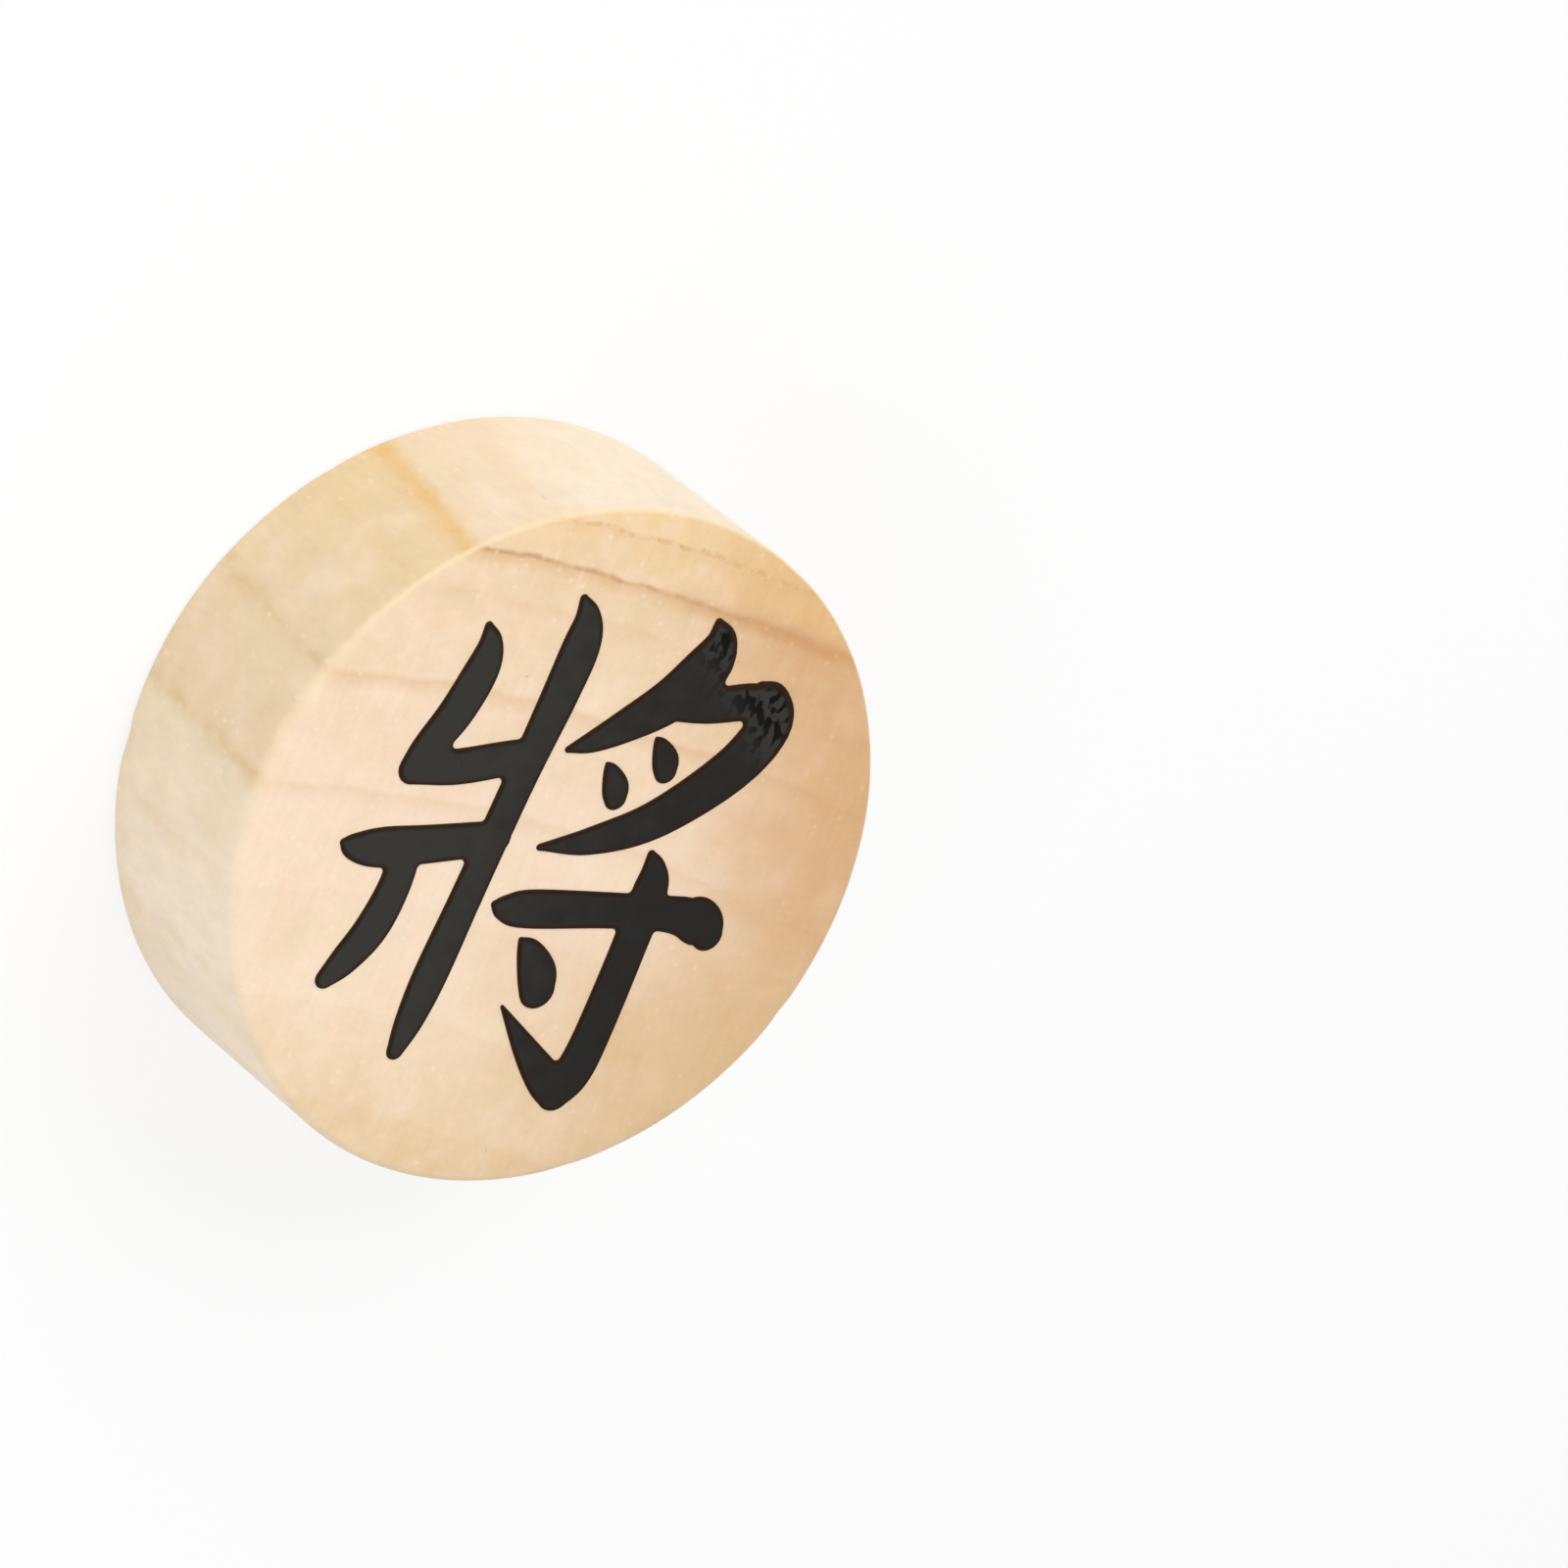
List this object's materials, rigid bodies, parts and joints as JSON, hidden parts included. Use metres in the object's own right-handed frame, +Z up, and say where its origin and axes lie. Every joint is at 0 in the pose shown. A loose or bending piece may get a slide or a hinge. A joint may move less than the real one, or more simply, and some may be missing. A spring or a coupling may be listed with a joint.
{
  "type": "xiangqi piece",
  "caption": "Round wooden xiangqi game piece: a thick flat disc with softly rounded edges and its rank sign in raised black ink on the face.",
  "frame": {"origin": "centre of the disc's underside", "axes": "+Z up out of the face that carries the sign, +Y towards the top of the sign, +X towards its right"},
  "size_m": [0.03, 0.03, 0.0101],
  "materials": {
    "wood": "pale close-grained hardwood, sanded and thinly sealed, end grain on the face",
    "ink": "thick black printing ink, satin, slightly raised"
  },
  "bodies": {
    "root": {"wood_disc": "wood", "ink_left_stand": "ink", "ink_upper_sweeps": "ink", "ink_upper_dots": "ink", "ink_bar_and_hook": "ink", "ink_lower_dot": "ink"}
  },
  "joints": []
}
